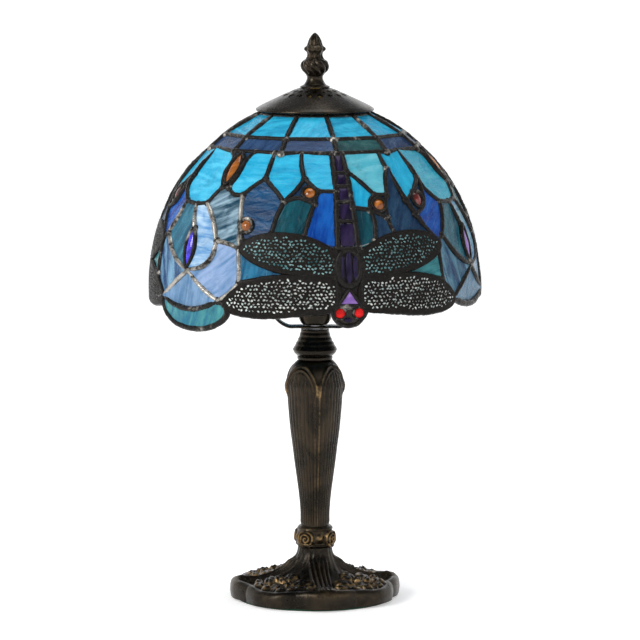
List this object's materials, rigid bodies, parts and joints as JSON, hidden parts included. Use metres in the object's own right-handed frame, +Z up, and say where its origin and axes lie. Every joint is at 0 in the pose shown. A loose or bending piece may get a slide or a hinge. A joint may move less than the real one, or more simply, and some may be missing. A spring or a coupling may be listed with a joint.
{
  "type": "stained glass table lamp",
  "caption": "Leaded glass dome lamp: scalloped dragonfly shade with vented cap and finial, on a reeded bronze stem and a lobed cast foot.",
  "frame": {"origin": "centre of the flat underside, on the surface the lamp stands on", "axes": "+Z up the stem, -Y towards the front"},
  "size_m": [0.2109, 0.2106, 0.36],
  "materials": {
    "antique_bronze": "antique bronze patina, rubbed highlights",
    "cast_iron": "rough cast",
    "zinc_steel": "zinc plated",
    "brass": "plain",
    "green_felt": "felt",
    "black_bush": "matt",
    "black_bakelite": "satin",
    "white_ceramic": "glazed",
    "opal_bulb_glass": "opal white",
    "dark_came": "soldered lead with dark patina",
    "wing_filigree": "pierced sheet with dark patina",
    "turquoise_glass": "streaky opalescent",
    "navy_glass": "streaky opalescent",
    "blue_glass": "streaky opalescent",
    "teal_glass": "mottled opalescent",
    "purple_glass": "dark cathedral glass"
  },
  "bodies": {
    "base": {"base_casting": "antique_bronze", "base_weight": "cast_iron", "felt_pad": "green_felt", "cord_gland": "black_bush", "base_washer": "zinc_steel", "base_nut": "zinc_steel", "rosette_collar": "antique_bronze", "stem_casting": "antique_bronze", "neck_ring": "antique_bronze", "neck_cone": "antique_bronze", "threaded_rod": "zinc_steel", "harp_strap": "antique_bronze", "harp_stud": "brass", "harp_nut": "brass", "socket_cup": "antique_bronze", "socket_barrel": "black_bakelite", "socket_shell": "brass", "socket_insulator": "white_ceramic", "socket_contact": "brass"},
    "bulb": {"bulb_glass": "opal_bulb_glass", "bulb_cap": "brass", "bulb_contact": "brass"},
    "shade": {"vented_cap": "antique_bronze", "crown_ring": "brass", "crown_glass": "turquoise_glass", "band_glass": "navy_glass", "came_upper": "dark_came", "came_lower": "dark_came", "rim_came": "dark_came", "dragonfly_body_1": "purple_glass", "dragonfly_tail_1": "purple_glass", "lobe_glass_1": "teal_glass", "field_glass_left_1": "blue_glass", "upper_wing_left_1": "wing_filigree", "lower_wing_left_1": "wing_filigree", "field_glass_right_1": "blue_glass", "upper_wing_right_1": "wing_filigree", "lower_wing_right_1": "wing_filigree", "dragonfly_body_2": "purple_glass", "dragonfly_tail_2": "purple_glass", "lobe_glass_2": "teal_glass", "field_glass_left_2": "blue_glass", "upper_wing_left_2": "wing_filigree", "lower_wing_left_2": "wing_filigree", "field_glass_right_2": "blue_glass", "upper_wing_right_2": "wing_filigree", "lower_wing_right_2": "wing_filigree", "dragonfly_body_3": "purple_glass", "dragonfly_tail_3": "purple_glass", "lobe_glass_3": "teal_glass", "field_glass_left_3": "blue_glass", "upper_wing_left_3": "wing_filigree", "lower_wing_left_3": "wing_filigree", "field_glass_right_3": "blue_glass", "upper_wing_right_3": "wing_filigree", "lower_wing_right_3": "wing_filigree"},
    "finial": {"finial": "antique_bronze"}
  },
  "joints": [
    {"name": "shade_swivel", "type": "hinge", "parent": "base", "child": "shade", "pos_m": [0, 0, 0.3226], "axis": [0, 0, 1], "continuous": true},
    {"name": "finial_unscrew", "type": "hinge", "parent": "base", "child": "finial", "pos_m": [0, 0, 0.3256], "axis": [0, 0, 1], "range_deg": [0, 1800]},
    {"name": "bulb_unscrew", "type": "hinge", "parent": "base", "child": "bulb", "pos_m": [0, 0, 0.2026], "axis": [0, 0, 1], "range_deg": [0, 1800]}
  ]
}
